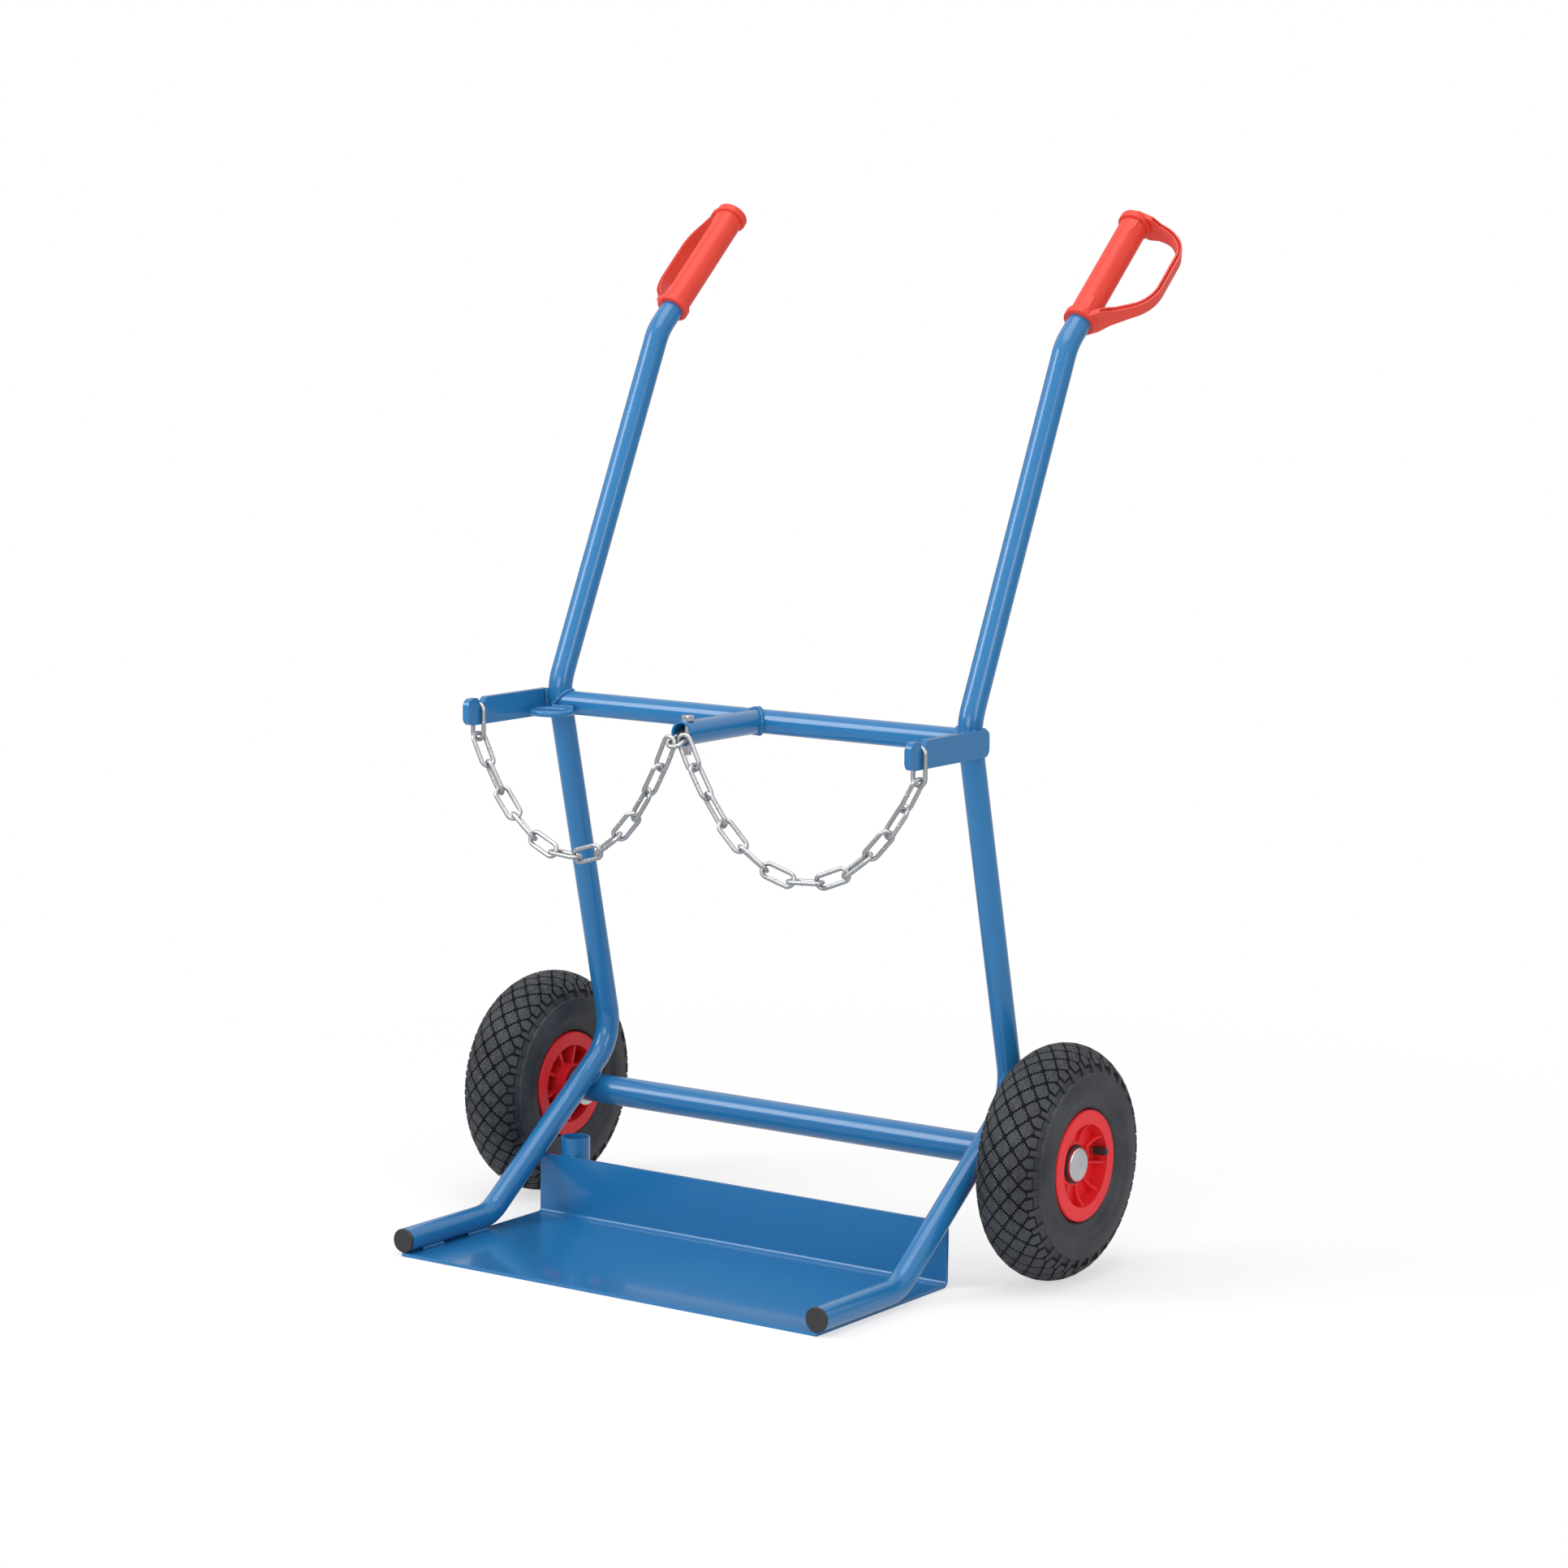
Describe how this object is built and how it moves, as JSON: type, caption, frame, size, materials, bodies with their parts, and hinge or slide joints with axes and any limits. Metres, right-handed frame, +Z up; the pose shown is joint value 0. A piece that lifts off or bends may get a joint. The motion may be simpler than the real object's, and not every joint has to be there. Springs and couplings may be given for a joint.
{
  "type": "gas cylinder trolley",
  "caption": "Upright trolley of bent tube for a pair of gas cylinders, with folded toe plate, air-filled wheels, hanging hold-back chains on hook plates, a rod holder and guarded hand grips.",
  "frame": {"origin": "on the floor under the middle of the axle", "axes": "+X to the right as seen from the front, toe plate toward -Y, +Z up"},
  "size_m": [0.781, 0.6267, 1.1545],
  "materials": {
    "blue_paint": "gloss",
    "zinc": "bright zinc plate",
    "chain_zinc": "bright zinc plate",
    "red_grip": "satin",
    "red_rim": "satin",
    "black_plastic": "satin",
    "tyre": "matte",
    "inner_rubber": "matte",
    "brass": "plain"
  },
  "bodies": {
    "frame": {"left_side_tube": "blue_paint", "right_side_tube": "blue_paint", "cross_tube": "blue_paint", "centre_stub": "blue_paint", "axle_tube": "blue_paint", "toe_plate": "blue_paint", "left_hook_plate": "blue_paint", "right_hook_plate": "blue_paint", "rod_ring": "blue_paint", "rod_cup": "blue_paint", "axle": "zinc", "left_axle_collar": "zinc", "right_axle_collar": "zinc", "left_hub_cap": "zinc", "right_hub_cap": "zinc", "stub_bolt": "zinc", "stub_nut": "zinc", "anchor_link": "chain_zinc", "left_grip": "red_grip", "right_grip": "red_grip", "left_tube_plug": "black_plastic", "right_tube_plug": "black_plastic"},
    "left_wheel": {"left_rim": "red_rim", "left_tyre": "tyre", "left_inner_tube": "inner_rubber", "left_hub_bushes": "black_plastic", "left_valve_stem": "brass", "left_valve_cap": "black_plastic"},
    "right_wheel": {"right_rim": "red_rim", "right_tyre": "tyre", "right_inner_tube": "inner_rubber", "right_hub_bushes": "black_plastic", "right_valve_stem": "brass", "right_valve_cap": "black_plastic"},
    "left_chain": {"left_chain": "chain_zinc"},
    "right_chain": {"right_chain": "chain_zinc"}
  },
  "joints": [
    {"name": "left_wheel_spin", "type": "hinge", "parent": "frame", "child": "left_wheel", "pos_m": [-0.349, 0, 0.13], "axis": [1, 0, 0], "continuous": true},
    {"name": "right_wheel_spin", "type": "hinge", "parent": "frame", "child": "right_wheel", "pos_m": [0.349, 0, 0.13], "axis": [1, 0, 0], "continuous": true},
    {"name": "left_chain_swing", "type": "hinge", "parent": "frame", "child": "left_chain", "pos_m": [-0.2926, -0.20343, 0.59889], "axis": [-0.9932, 0.1003, 0.059], "range_deg": [-10, 8]},
    {"name": "right_chain_swing", "type": "hinge", "parent": "frame", "child": "right_chain", "pos_m": [0.2926, -0.20343, 0.59889], "axis": [-0.9955, -0.0807, -0.0499], "range_deg": [-10, 8]}
  ]
}
